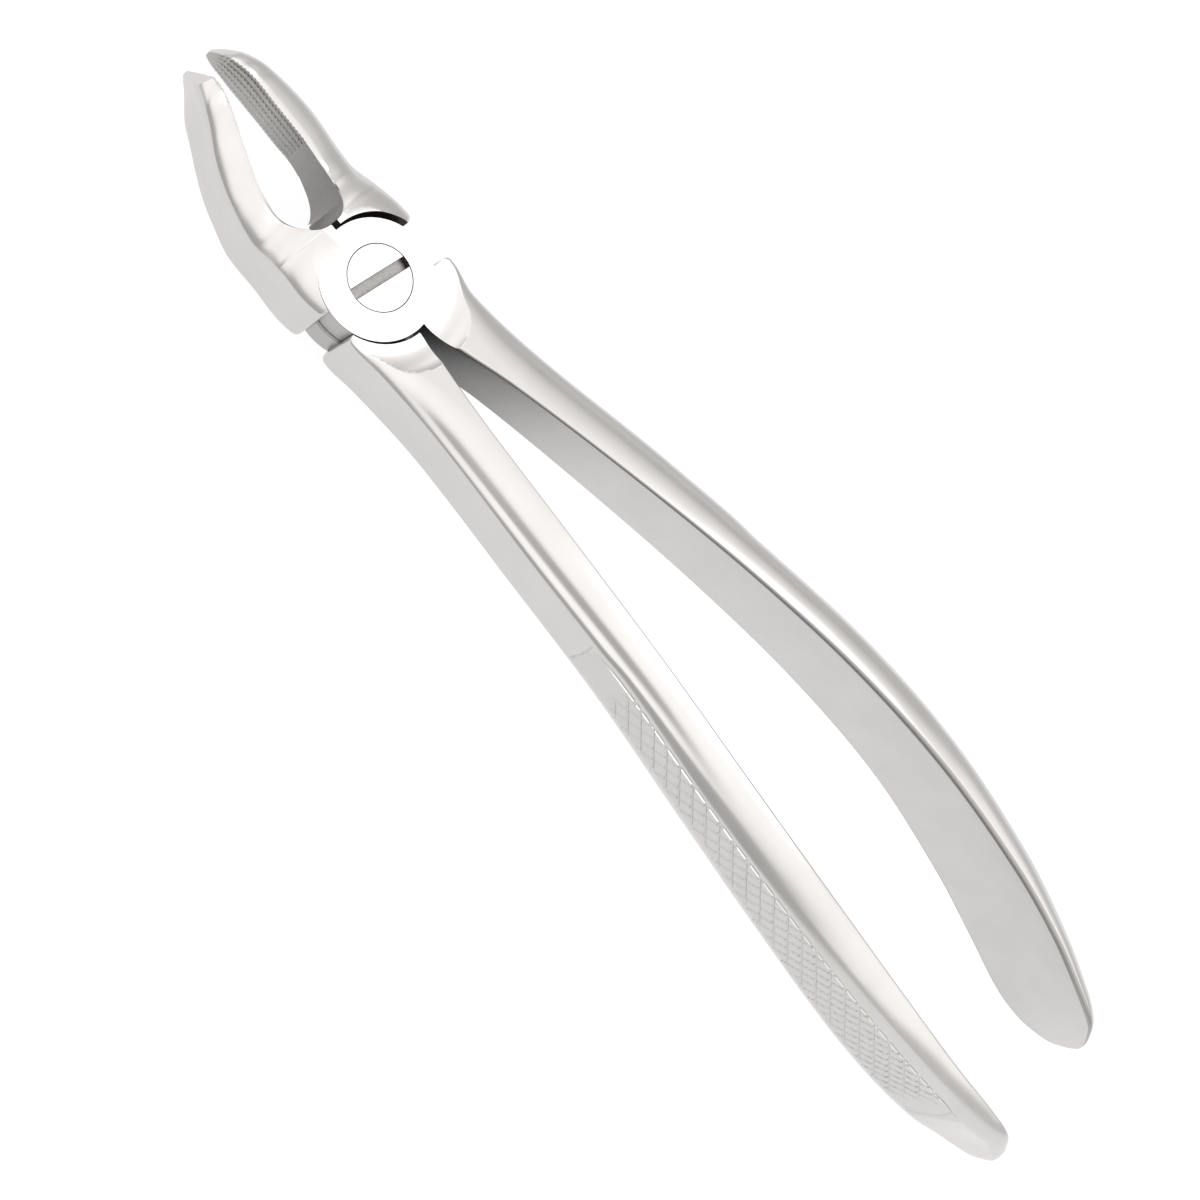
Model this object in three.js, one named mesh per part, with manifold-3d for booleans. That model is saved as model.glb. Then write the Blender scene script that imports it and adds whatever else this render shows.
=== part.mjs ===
// English-pattern extraction forceps: two forged steel halves that cross in a lapped joint and turn
// on one slotted screw. Millimetres. +Z is the pivot axis towards the screw's head, +Y points to the
// jaw tips, and the origin is on the pivot axis at the joint's flat underside.

import * as THREE from 'three';
import { mergeVertices } from 'three/addons/utils/BufferGeometryUtils.js';
import Module from 'manifold-3d';

// --- Joint ---
const JOINT_THICKNESS = 8.4;
const SPLIT_HEIGHT = 4.2; // where the two lapped plates meet
const PLATE_CLEARANCE = 0.1; // between the plates' sliding faces
const MILLED_FACE_RADIUS = 9.7; // flat faces milled round the pivot, above and below

const UPPER_PLATE = { radius: 7.55, x: -0.3, y: -0.2 };
const LOWER_PLATE = { radius: 8.4, x: 0, y: 0 };
// Each half is hollowed to let the other's plate turn.
const UPPER_POCKET_RADIUS = 8.6;
const LOWER_POCKET_RADIUS = 8.05;
const LOWER_POCKET_RELIEF = { radius: 7.8, x: 0.45 }; // extra room on the jaw side

// --- Pivot screw ---
const HEAD_RADIUS = 4.2;
const HEAD_HEIGHT = 2.0;
const SLOT_WIDTH = 1.4;
const SLOT_DEPTH = 1.1;
const SLOT_ANGLE = THREE.MathUtils.degToRad(-8);
const SHANK_RADIUS = 2.5; // the upper half turns on this
const THREAD_RADIUS = 2.0; // held in the lower half, ground flush underneath
const RUNNING_CLEARANCE = 0.1;
const THREAD_CLEARANCE = 0.05;

// --- Handles ---
// Sections of the handle at x > 0. Each row: y, inner face x, thickness, top z, bottom z, the share
// of the thickness that stays flat on top, and the shares of the height that are rounded over above
// and below the flat outer panel.
const HANDLE_SECTIONS = [
  [-2.5, 0.6, 8.8, 8.4, 0.0, 0.93, 0.05, 0.12],
  [-5, 0.6, 8.8, 8.5, -0.4, 0.9, 0.06, 0.12],
  [-9, 0.7, 8.2, 8.9, -0.7, 0.6, 0.13, 0.13],
  [-20, 3.0, 6.35, 11.7, 1.3, 0.15, 0.19, 0.14],
  [-38, 5.8, 5.75, 15.8, 3.6, 0.1, 0.19, 0.2],
  [-56, 8.3, 5.4, 19.0, 5.1, 0.1, 0.19, 0.3],
  [-74, 10.4, 5.5, 20.5, 5.3, 0.1, 0.19, 0.33],
  [-92, 11.6, 5.2, 20.2, 3.8, 0.1, 0.19, 0.25],
  [-110, 11.8, 4.4, 17.9, -0.5, 0.1, 0.19, 0.2],
  [-122, 11.3, 3.6, 15.3, -4.0, 0.1, 0.19, 0.2],
  [-132, 10.2, 3.0, 12.4, -6.0, 0.1, 0.19, 0.2],
  [-137, 9.7, 2.2, 10.2, -5.3, 0.1, 0.19, 0.2],
  [-140, 9.7, 1.6, 6.9, -3.9, 0.1, 0.19, 0.2],
  [-141.6, 9.8, 1.2, 4.5, -2.4, 0.1, 0.19, 0.2],
  [-142.4, 9.9, 0.8, 2.6, 0.2, 0.1, 0.19, 0.2],
];
const HANDLE_CORNER = 0.3; // chamfer along the flat inner face
const HANDLE_LEAN_FADE = [-40, -5]; // the root's outer face leans in towards its top, fading out here
const HANDLE_LOFT_STEP = 4;
const HANDLE_ROOT_END = -12; // closer sections up to here, and beyond the next
const HANDLE_TIP_START = -136;
const HANDLE_TIP_STEPS = 6;

// --- Jaws ---
// Sections of the jaw at x > 0. Each row: y, x where the crowned top meets the outer face, x at the
// outer face's foot, top z, bottom z.
const JAW_SECTIONS = [
  [0.5, 8.8, 9.8, 9.6, 0.0],
  [4, 9.15, 10.0, 9.1, -0.6],
  [8.5, 8.75, 9.4, 8.5, -1.5],
  [12, 8.65, 9.3, 6.6, -1.7],
  [14, 8.55, 9.2, 6.6, -1.4],
  [17, 8.25, 8.9, 7.6, 0.1],
  [20, 7.8, 8.3, 9.0, 1.3],
  [23, 6.95, 7.4, 10.4, 2.8],
  [26, 5.7, 6.2, 11.9, 4.2],
  [28, 4.9, 5.4, 12.4, 5.0],
  [30, 3.95, 4.2, 11.9, 5.8],
  [31, 3.3, 3.4, 11.1, 6.0],
  [32, 2.9, 2.95, 9.7, 6.4],
  [32.7, 2.5, 2.5, 8.4, 7.0],
];
// Inner face of the beak ahead of the tooth space: y, x.
const BEAK_INNER = [
  [14, 4.4],
  [17, 4.2],
  [20, 3.6],
  [26, 2.3],
  [30, 1.6],
  [32.7, 1.5],
];
const CROTCH_Y = 8.5; // where the jaws' inner faces open into the tooth space
const CROTCH_END_Y = 14;
const CROTCH_GAP = 0.5; // half the gap between the jaws behind the crotch
const CROTCH_LEAN = 1.4; // the crotch's wall stands further forward at its foot
const CROTCH_STEPS = 6;
const CROWN_HEIGHT = 3.1; // the jaw's top rounds over this far down its outer face
const CROWN_SHARE = 0.45; // but never over more of its height than this
const FOOT_DROP = 0.9; // how far the outer face's foot hangs below the inner one's
const FOOT_DROP_FADE = [28, 32]; // the drop runs out between these towards the tip
const JAW_CORNER = 0.4;
const BEAK_LOFT_STEP = 1.5;
const BEAK_TIP_STEPS = 6;
const BEAK_TIP_START = 28;
// The upper half's beak is ground off at a slant: two points of that flat, in y and z.
const TIP_GRIND = [[29.9, 11.8], [32.2, 7.6]];

// Where the full-height shoulders of each half begin along y, and how far its handle's root leans in.
const UPPER_HALF = { jawShoulder: 0.8, handleShoulder: -3.2, jawSide: -1, rootLean: 0.3 };
const LOWER_HALF = { jawShoulder: 2.75, handleShoulder: -2.95, jawSide: 1, rootLean: 0.9 };
const SHOULDER_RADIUS = 0.8; // upright edge of a shoulder, rounded in plan

const CROWN_FULLNESS = 3; // 2 would be an ellipse, more is squarer
const EDGE_FULLNESS = 2.6;
const ROUND_SEGMENTS = 72;
const STEEL = { color: 0xc9c7c4, roughness: 0.28, metalness: 1.0 };

const wasm = await Module();
wasm.setup();

// Smooth curve through the rows of a table, read at y. Rows may run up or down in y.
function readSections(rows, column, y) {
  const sorted = [...rows].sort((a, b) => a[0] - b[0]);
  const last = sorted.length - 1;
  const clamped = THREE.MathUtils.clamp(y, sorted[0][0], sorted[last][0]);
  const found = sorted.findIndex((row) => row[0] > clamped);
  const i = found < 0 ? last - 1 : Math.max(found - 1, 0);
  const slope = (k) => {
    const before = sorted[Math.max(k - 1, 0)];
    const after = sorted[Math.min(k + 1, last)];
    return (after[column] - before[column]) / (after[0] - before[0]);
  };
  const [start, end] = [sorted[i], sorted[i + 1]];
  const span = end[0] - start[0];
  const t = (clamped - start[0]) / span;
  const rise = (end[column] - start[column]) / span;
  const bend = (slope(i) - rise) * (1 - t) - (slope(i + 1) - rise) * t;
  return start[column] + rise * span * t + bend * span * t * (1 - t);
}

// Closed surface through rings of points with equal counts, with a flat cap at each end.
function loftGeometry(rings) {
  const count = rings[0].length;
  const positions = rings.flat().flatMap((point) => [point.x, point.y, point.z]);
  const indices = [];
  for (let ring = 0; ring < rings.length - 1; ring += 1) {
    for (let i = 0; i < count; i += 1) {
      const a = ring * count + i;
      const b = ring * count + ((i + 1) % count);
      indices.push(a, b, b + count, a, b + count, a + count);
    }
  }
  const lastRing = (rings.length - 1) * count;
  for (let i = 1; i < count - 1; i += 1) {
    indices.push(0, i + 1, i);
    indices.push(lastRing, lastRing + i, lastRing + i + 1);
  }
  const geometry = new THREE.BufferGeometry();
  geometry.setAttribute('position', new THREE.Float32BufferAttribute(positions, 3));
  geometry.setIndex(indices);
  return geometry;
}

function toSolid(geometry) {
  const bare = geometry.clone();
  bare.deleteAttribute('normal');
  bare.deleteAttribute('uv');
  const merged = mergeVertices(bare, 1e-4);
  const mesh = new wasm.Mesh({
    numProp: 3,
    vertProperties: new Float32Array(merged.attributes.position.array),
    triVerts: new Uint32Array(merged.index.array),
  });
  return new wasm.Manifold(mesh);
}

function toGeometry(solid) {
  const { vertProperties, triVerts } = solid.getMesh();
  const geometry = new THREE.BufferGeometry();
  geometry.setAttribute('position', new THREE.BufferAttribute(vertProperties, 3));
  geometry.setIndex(new THREE.BufferAttribute(triVerts, 1));
  geometry.computeVertexNormals();
  return geometry;
}

// Upright round solid between two heights.
function roundSolid(radius, bottom, top, x = 0, y = 0) {
  const geometry = new THREE.CylinderGeometry(radius, radius, top - bottom, ROUND_SEGMENTS);
  geometry.rotateX(Math.PI / 2);
  geometry.translate(x, y, (bottom + top) / 2);
  return toSolid(geometry);
}

// Ring of a section drawn in x and z, on the chosen side of the middle plane. The rings of an arm
// run from the joint outwards, so the turning sense depends on the side and on the direction.
function sectionRing(outline, y, side, direction) {
  const ring = outline.map(([x, z]) => new THREE.Vector3(side * x, y, z));
  return side * direction < 0 ? ring.reverse() : ring;
}

// Share of the way across and up a quarter of a rounded corner, at an angle from its top.
function roundedCorner(angle, fullness) {
  return [Math.sin(angle) ** (2 / fullness), Math.cos(angle) ** (2 / fullness)];
}

// How far a shoulder's outer edge draws in, at a distance from the shoulder's face.
function shoulderInset(distance) {
  const left = Math.max(SHOULDER_RADIUS - distance, 0);
  return SHOULDER_RADIUS - Math.sqrt(SHOULDER_RADIUS ** 2 - left ** 2);
}

// Sections that follow a shoulder's rounded edge, then the start of the arm itself.
function shoulderStations(shoulderY, direction) {
  return [0, 0.15, 0.45, 1].map((share) => shoulderY + direction * share * SHOULDER_RADIUS);
}

// Evenly curving approach to an end: the steps get shorter towards it.
function tipStations(start, end, steps) {
  const stations = [];
  for (let i = 0; i <= steps; i += 1) {
    stations.push(start + (end - start) * Math.sin((i / steps) * Math.PI / 2));
  }
  return stations;
}

// Handle section: flat inner face, rounded edges above and below a flat outer panel. The outline
// runs up the inner face and back down the outside.
function handleOutline(y, shoulderY, rootLean) {
  const [inner, fullThickness, top, bottom, flatShare, topShare, bottomShare] = [1, 2, 3, 4, 5, 6, 7]
    .map((column) => readSections(HANDLE_SECTIONS, column, y));
  const thickness = fullThickness - shoulderInset(shoulderY - y);
  const lean = rootLean * THREE.MathUtils.smoothstep(y, ...HANDLE_LEAN_FADE);
  const topEdge = (top - bottom) * topShare;
  const bottomEdge = (top - bottom) * bottomShare;
  const corner = Math.min(HANDLE_CORNER, topEdge / 2);
  const topStart = inner + (thickness - lean) * flatShare;
  const topWidth = (thickness - lean) * (1 - flatShare);
  const bottomStart = inner + thickness * flatShare;
  const bottomWidth = thickness * (1 - flatShare);
  const outline = [[inner, bottom + corner], [inner, top - corner]];
  const steps = 5;
  for (let i = 0; i <= steps; i += 1) {
    const [across, up] = roundedCorner((i / steps) * Math.PI / 2, EDGE_FULLNESS);
    outline.push([topStart + topWidth * across, top - topEdge * (1 - up)]);
  }
  for (let i = steps; i >= 0; i -= 1) {
    const [across, up] = roundedCorner((i / steps) * Math.PI / 2, 2);
    outline.push([bottomStart + bottomWidth * across, bottom + bottomEdge * (1 - up)]);
  }
  return outline;
}

function handleArm(side, shoulderY, rootLean) {
  const endY = HANDLE_SECTIONS[HANDLE_SECTIONS.length - 1][0];
  const stations = shoulderStations(shoulderY, -1);
  for (let y = -5; y > HANDLE_ROOT_END; y -= HANDLE_LOFT_STEP / 2) stations.push(y);
  for (let y = HANDLE_ROOT_END; y > HANDLE_TIP_START; y -= HANDLE_LOFT_STEP) stations.push(y);
  stations.push(...tipStations(HANDLE_TIP_START, endY, HANDLE_TIP_STEPS));
  const rings = stations.map((y) => sectionRing(handleOutline(y, shoulderY, rootLean), y, side, -1));
  return toSolid(loftGeometry(rings));
}

// Inner face of a jaw: a quarter ellipse opens the tooth space, and the beak closes it again.
function jawInner(y) {
  if (y <= CROTCH_Y) return CROTCH_GAP;
  if (y < CROTCH_END_Y) {
    const share = (CROTCH_END_Y - y) / (CROTCH_END_Y - CROTCH_Y);
    const widest = BEAK_INNER[0][1];
    return CROTCH_GAP + (widest - CROTCH_GAP) * Math.sqrt(1 - share * share);
  }
  return readSections(BEAK_INNER, 1, y);
}

// Inner face at its foot, where the crotch's wall stands further forward.
function jawInnerFoot(y) {
  return y < CROTCH_END_Y + CROTCH_LEAN ? jawInner(y - CROTCH_LEAN) : jawInner(y);
}

// Jaw section: inner face, crowned top, and an outer face that leans out towards its foot.
function jawOutline(y, shoulderY) {
  const inner = jawInner(y);
  const innerFoot = jawInnerFoot(y);
  const inset = shoulderInset(y - shoulderY);
  const flank = readSections(JAW_SECTIONS, 1, y) - inset;
  const foot = readSections(JAW_SECTIONS, 2, y) - inset;
  const top = readSections(JAW_SECTIONS, 3, y);
  const bottom = readSections(JAW_SECTIONS, 4, y);
  const crown = Math.min(CROWN_HEIGHT, CROWN_SHARE * (top - bottom));
  const footBottom = bottom - FOOT_DROP * (1 - THREE.MathUtils.smoothstep(y, ...FOOT_DROP_FADE));
  const corner = Math.min(JAW_CORNER, (top - bottom) / 4, (flank - inner) / 4);
  const outline = [[innerFoot, bottom + corner], [inner, top - corner], [inner + corner / 2, top]];
  const steps = 6;
  for (let i = 1; i <= steps; i += 1) {
    const [across, up] = roundedCorner((i / steps) * Math.PI / 2, CROWN_FULLNESS);
    outline.push([inner + (flank - inner) * across, top - crown * (1 - up)]);
  }
  outline.push([foot, footBottom + 3 * corner]);
  outline.push([foot - corner, footBottom + corner]);
  outline.push([foot - 3 * corner, footBottom]);
  outline.push([innerFoot + corner, bottom]);
  return outline;
}

function jawArm(side, shoulderY) {
  const endY = JAW_SECTIONS[JAW_SECTIONS.length - 1][0];
  const stations = shoulderStations(shoulderY, 1);
  stations.push((shoulderY + CROTCH_Y) / 2, CROTCH_Y);
  for (let i = 1; i <= CROTCH_STEPS; i += 1) {
    const angle = (i / CROTCH_STEPS) * Math.PI / 2;
    stations.push(CROTCH_END_Y - (CROTCH_END_Y - CROTCH_Y) * Math.cos(angle));
  }
  for (let y = CROTCH_END_Y + BEAK_LOFT_STEP; y < BEAK_TIP_START; y += BEAK_LOFT_STEP) stations.push(y);
  stations.push(...tipStations(BEAK_TIP_START, endY, BEAK_TIP_STEPS));
  const rings = stations.map((y) => sectionRing(jawOutline(y, shoulderY), y, side, 1));
  return toSolid(loftGeometry(rings));
}

// Everything ahead of the slanted flat that is ground on a beak's tip.
function tipGrind() {
  const size = 20;
  const [[y0, z0], [y1, z1]] = TIP_GRIND;
  const geometry = new THREE.BoxGeometry(size, size, size);
  geometry.translate(0, size / 2, 0);
  geometry.rotateX(Math.atan2(y1 - y0, z0 - z1));
  geometry.translate(0, (y0 + y1) / 2, (z0 + z1) / 2);
  return toSolid(geometry);
}

// The two arms of a half, with the flat faces milled round the pivot.
function arms(half) {
  const reach = 30; // beyond the arms either way
  const above = roundSolid(MILLED_FACE_RADIUS, JOINT_THICKNESS, JOINT_THICKNESS + reach);
  const below = roundSolid(MILLED_FACE_RADIUS, -reach, 0);
  return jawArm(half.jawSide, half.jawShoulder)
    .add(handleArm(-half.jawSide, half.handleShoulder, half.rootLean))
    .subtract(above)
    .subtract(below);
}

function upperHalf() {
  const plateBottom = SPLIT_HEIGHT + PLATE_CLEARANCE / 2;
  const plate = roundSolid(UPPER_PLATE.radius, plateBottom, JOINT_THICKNESS, UPPER_PLATE.x, UPPER_PLATE.y);
  const headSeat = JOINT_THICKNESS - HEAD_HEIGHT - RUNNING_CLEARANCE;
  const counterbore = roundSolid(HEAD_RADIUS + RUNNING_CLEARANCE, headSeat, JOINT_THICKNESS + 1);
  const bore = roundSolid(SHANK_RADIUS + RUNNING_CLEARANCE, -1, JOINT_THICKNESS + 1);
  return arms(UPPER_HALF)
    .subtract(tipGrind())
    .add(plate)
    .subtract(roundSolid(UPPER_POCKET_RADIUS, -1, plateBottom))
    .subtract(counterbore)
    .subtract(bore);
}

function lowerHalf() {
  const plateTop = SPLIT_HEIGHT - PLATE_CLEARANCE / 2;
  const plate = roundSolid(LOWER_PLATE.radius, 0, plateTop, LOWER_PLATE.x, LOWER_PLATE.y);
  const above = JOINT_THICKNESS + 1;
  const pocket = roundSolid(LOWER_POCKET_RADIUS, plateTop, above);
  const relief = roundSolid(LOWER_POCKET_RELIEF.radius, plateTop, above, LOWER_POCKET_RELIEF.x);
  const threadHole = roundSolid(THREAD_RADIUS + THREAD_CLEARANCE, -1, plateTop + 1);
  return arms(LOWER_HALF)
    .add(plate)
    .subtract(pocket)
    .subtract(relief)
    .subtract(threadHole);
}

function pivotScrew() {
  const head = roundSolid(HEAD_RADIUS, JOINT_THICKNESS - HEAD_HEIGHT, JOINT_THICKNESS);
  const shank = roundSolid(SHANK_RADIUS, SPLIT_HEIGHT, JOINT_THICKNESS - 1);
  const thread = roundSolid(THREAD_RADIUS, 0, SPLIT_HEIGHT + 1);
  const slotGeometry = new THREE.BoxGeometry(4 * HEAD_RADIUS, SLOT_WIDTH, 2 * SLOT_DEPTH);
  slotGeometry.rotateZ(SLOT_ANGLE);
  slotGeometry.translate(0, 0, JOINT_THICKNESS);
  return head.add(shank).add(thread).subtract(toSolid(slotGeometry));
}

function namedMesh(name, solid) {
  const mesh = new THREE.Mesh(toGeometry(solid), new THREE.MeshStandardMaterial(STEEL));
  mesh.name = name;
  return mesh;
}

const forceps = new THREE.Group();
forceps.add(namedMesh('upper_half', upperHalf()));
forceps.add(namedMesh('lower_half', lowerHalf()));
forceps.add(namedMesh('pivot_screw', pivotScrew()));

export default forceps;
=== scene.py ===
"""Looks of the extraction forceps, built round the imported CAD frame.

Each forged half is one fine mesh, made as the real one is: two lofted arms are joined and milled
flat round the pivot, the lap plate is added, and the pocket and the bores are cut. Shapes are drawn
in millimetres in the CAD's own frame (+Z up the pivot axis, +Y towards the jaw tips) and turned into
metres when a mesh is made.
"""

import math

import bpy
import numpy as np
from mathutils import Matrix, Vector


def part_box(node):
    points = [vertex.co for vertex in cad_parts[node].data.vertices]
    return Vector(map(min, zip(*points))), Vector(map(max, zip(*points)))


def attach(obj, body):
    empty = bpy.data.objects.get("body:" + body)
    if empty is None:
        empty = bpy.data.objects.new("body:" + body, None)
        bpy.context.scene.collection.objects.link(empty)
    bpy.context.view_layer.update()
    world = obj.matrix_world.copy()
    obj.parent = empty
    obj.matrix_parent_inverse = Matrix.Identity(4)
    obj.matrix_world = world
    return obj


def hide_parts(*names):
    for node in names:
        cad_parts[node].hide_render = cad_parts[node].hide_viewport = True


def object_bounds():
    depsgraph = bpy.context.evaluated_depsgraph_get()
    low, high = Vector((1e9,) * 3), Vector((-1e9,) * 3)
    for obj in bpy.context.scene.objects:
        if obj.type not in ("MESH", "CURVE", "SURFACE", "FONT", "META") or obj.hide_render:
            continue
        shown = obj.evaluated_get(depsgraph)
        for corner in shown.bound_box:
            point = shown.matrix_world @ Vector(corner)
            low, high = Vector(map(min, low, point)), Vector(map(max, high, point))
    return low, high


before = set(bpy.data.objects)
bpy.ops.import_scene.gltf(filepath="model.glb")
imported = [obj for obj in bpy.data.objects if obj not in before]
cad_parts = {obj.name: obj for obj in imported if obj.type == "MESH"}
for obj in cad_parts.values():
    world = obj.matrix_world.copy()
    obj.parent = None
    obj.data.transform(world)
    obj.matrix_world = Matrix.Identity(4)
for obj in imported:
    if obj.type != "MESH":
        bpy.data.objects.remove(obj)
CAD_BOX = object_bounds()

MM = 0.001

# --- Joint, in millimetres ---
# The joint follows the CAD. Plates, pockets and millings are a few tenths off its sizes, where that
# brings out the edges of the real joint.
JOINT_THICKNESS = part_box("pivot_screw")[1].z / MM
SPLIT_HEIGHT = 4.2
PLATE_CLEARANCE = 0.1
UPPER_PLATE = {"radius": 7.65, "x": -0.35, "y": 0.0}
LOWER_PLATE = {"radius": 8.4, "x": 0.0, "y": 0.0}
UPPER_POCKET_RADIUS = 8.6
LOWER_POCKET = {"radius": 7.85, "x": -0.2, "y": -0.15}
LOWER_POCKET_RELIEF = {"radius": 7.85, "x": 0.5, "y": 0.0}
UPPER_MILLING = {"radius": 9.1, "fillet": 5.5}
LOWER_MILLING = {"radius": 9.7, "fillet": 0.5}
MILLING_REACH = 30.0
MILLING_SEGMENTS = 540
FILLET_POINTS = 24

HEAD_RADIUS = 4.2
HEAD_HEIGHT = 2.0
SLOT_WIDTH = 1.4
SLOT_DEPTH = 1.1
SLOT_ANGLE = math.radians(-8)
SHANK_RADIUS = 2.5
THREAD_RADIUS = 2.0
THREAD_CHAMFER = 0.1
RUNNING_CLEARANCE = 0.1
HEAD_CLEARANCE = 0.05
THREAD_CLEARANCE = 0.05
EDGE_BREAK = 0.12
FINE_EDGE = 0.04

# --- Handles, in millimetres ---
# Handle sections: y, inner face x, thickness, top z, bottom z, share of the thickness that stays
# flat on top, shares of the height rounded over above and below the outer panel.
HANDLE_SECTIONS = np.array([
    (-142.4, 9.9, 0.8, 2.6, 0.2, 0.1, 0.19, 0.2),
    (-141.6, 9.8, 1.2, 4.5, -2.4, 0.1, 0.19, 0.2),
    (-140, 9.7, 1.6, 6.9, -3.9, 0.1, 0.19, 0.2),
    (-137, 9.7, 2.2, 10.2, -5.3, 0.1, 0.19, 0.2),
    (-132, 10.2, 3.0, 12.4, -6.0, 0.1, 0.19, 0.2),
    (-122, 11.3, 3.6, 15.3, -4.0, 0.1, 0.19, 0.2),
    (-110, 11.8, 4.4, 17.9, -0.5, 0.1, 0.19, 0.2),
    (-92, 11.6, 5.2, 20.2, 3.8, 0.1, 0.19, 0.25),
    (-74, 10.4, 5.5, 20.5, 5.3, 0.1, 0.19, 0.33),
    (-56, 8.3, 5.4, 19.0, 5.1, 0.1, 0.19, 0.3),
    (-38, 5.8, 5.75, 15.8, 3.6, 0.1, 0.19, 0.2),
    (-20, 3.0, 6.35, 11.7, 1.3, 0.15, 0.19, 0.14),
    (-9, 0.7, 8.2, 8.9, -0.7, 0.6, 0.13, 0.13),
    (-5, 0.6, 8.8, 8.5, -0.4, 0.9, 0.06, 0.12),
    (-2.5, 0.6, 8.8, 8.4, 0.0, 0.93, 0.05, 0.12),
])
HANDLE_LEAN_FADE = (-40.0, -5.0)
INNER_EDGE_GROWTH = (-95.0, -25.0)
# Fullness of the rounding above the outer panel, at the root: less is nearer a flat bevel, more is
# squarer. Each half has its own fullness further back.
ELLIPSE = 2.0
EDGE_FULLNESS = ELLIPSE
EDGE_FULLNESS_SPAN = (-72.0, -46.0)
# Least share of the thickness that stays flat underneath.
LOW_FLAT_SHARE = 0.3

# Flute along the top of a handle: y, and its place as a share of the thickness. It deepens over
# FLUTE_RISE, and runs out again near the joint.
FLUTE_LINE = np.array([(-80, 0.66), (-60, 0.7), (-47, 0.76), (-40, 0.78), (-9, 0.8)])
FLUTE_RISE = (-78.0, -50.0)
FLUTE_RUN_OUT = (-22.0, -8.0)
FLUTE_WIDTH = 0.13
# The flute keeps its depth until the rounding has dropped to 1 / FLUTE_HOLD of its height.
FLUTE_HOLD = 1.6

# Points in each stretch of a handle's ring, and steps between rings.
INNER_FACE_POINTS = 14
EDGE_POINTS = 9
FLAT_POINTS = 6
ROUND_POINTS = 50
PANEL_POINTS = 60
LOW_POINTS = 18
HANDLE_ROOT_STEP = 0.4
HANDLE_STEP = 0.8
PANEL_STEP = 0.16
HANDLE_ROOT_END = -20.0
PANEL_RINGS_MARGIN = (3.0, 1.0)  # how far the close rings run on before and after the panel
HANDLE_TIP_RINGS = 40

# Knurled panel on the outer face, standing proud of the rounding above it.
PANEL_START = -49.5
PANEL_END = -131.0
PANEL_LEDGE = 0.22
PANEL_LEDGE_SPAN = (0.7, 0.97)  # shares of the thickness over which the ledge is cut in
PANEL_FADE = 5.0
KNURL_START = -55.0
KNURL_END = -127.5
KNURL_FADE = 3.0
KNURL_PITCH = 2.9
KNURL_ANGLE = math.radians(50)
KNURL_DEPTHS = (0.24, 0.34)  # of the two families of grooves
KNURL_WIDTH = 0.48
# Fine arcs scribed across the panel at its ends: y and z of the arc's middle, how far the arc's
# ends curve back and over what height.
PANEL_ARCS = ((-49.8, 9.2, 0.9, 6.5), (-130.3, 1.85, 2.0, 8.7))
ARC_DEPTH = 0.18
ARC_WIDTH = 0.36

# --- Jaws, in millimetres ---
# Jaw sections: y, x where the crowned top meets the outer face, x at its foot, top z, bottom z.
JAW_SECTIONS = np.array([
    (0.5, 8.8, 9.8, 9.6, 0.0),
    (4, 9.15, 10.0, 9.1, -0.6),
    (8.5, 8.75, 9.4, 8.5, -1.5),
    (12, 8.65, 9.3, 6.6, -1.7),
    (14, 8.55, 9.2, 6.6, -1.4),
    (17, 8.25, 8.9, 7.6, 0.1),
    (20, 7.8, 8.3, 9.0, 1.3),
    (23, 6.95, 7.4, 10.4, 2.8),
    (26, 5.7, 6.2, 11.9, 4.2),
    (28, 4.9, 5.4, 12.4, 5.0),
    (30, 3.95, 4.2, 11.9, 5.8),
    (31, 3.3, 3.4, 11.1, 6.0),
    (32, 2.75, 2.75, 9.7, 6.4),
    (32.7, 2.2, 2.2, 8.4, 7.0),
])
BEAK_INNER = np.array([(14, 4.4), (17, 4.2), (20, 3.6), (26, 2.3), (30, 1.6), (32.7, 1.5)])
CROTCH_Y = 8.5
CROTCH_END_Y = 14.0
CROTCH_GAP = 0.5
CROTCH_LEAN = 1.4
CROWN_HEIGHT = 2.4
CROWN_SLOPE = 0.19
CROWN_SLOPE_FADE = (5.0, 18.0)
CROWN_SHARE = 0.35
CROWN_START_ANGLE = 0.02
# Fullness of the crown's outer corner: rounder at the neck, crisper along the beak.
NECK_FULLNESS = ELLIPSE
CROWN_FULLNESS = 4.0
CROWN_FULLNESS_SPAN = (9.0, 19.0)
FOOT_DROP = 0.9
FOOT_DROP_FADE = (28.0, 32.0)
FOOT_RADIUS = 1.2
JAW_CORNER = 0.4
FACE_TOP_SHARE = 0.4  # of a corner, left between the top of the face and the crown
SOLE_CORNER_SHARE = 0.3
NECK_FLUTE_SPAN = (5.0, 26.0)
NECK_FLUTE_FADE = 6.0
NECK_FLUTE_DEPTH = 0.14
NECK_FLUTE_PLACE = 0.35
NECK_FLUTE_WIDTH = 0.18
TIP_GRIND = ((29.9, 11.8), (32.2, 7.6))

# Points in each stretch of a jaw's ring, and steps between rings.
FACE_POINTS = 60
CROWN_POINTS = 34
FLANK_POINTS = 20
FOOT_POINTS = 8
SOLE_POINTS = 8
JAW_ROOT_STEP = 0.4
JAW_STEP = 0.3
CROTCH_RINGS = 30
JAW_TIP_RINGS = 12

# Beak serrations: cross teeth and a few grooves along the beak, fanning out at their back end.
TEETH_SPAN = (17.2, 31.6)
TEETH_PITCH = 0.53
TEETH_DEPTH = 0.15
TEETH_ROWS = 5
TEETH_FADE = 1.0
RINGS_PER_TOOTH = 6
ROW_GROOVE_DEPTH = 0.13
ROW_GROOVE_WIDTH = 0.4
TEETH_SHARE_IN_GROOVE = 0.4
FAN_Y = 20.0
FAN_SLOPE = 0.05

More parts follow.
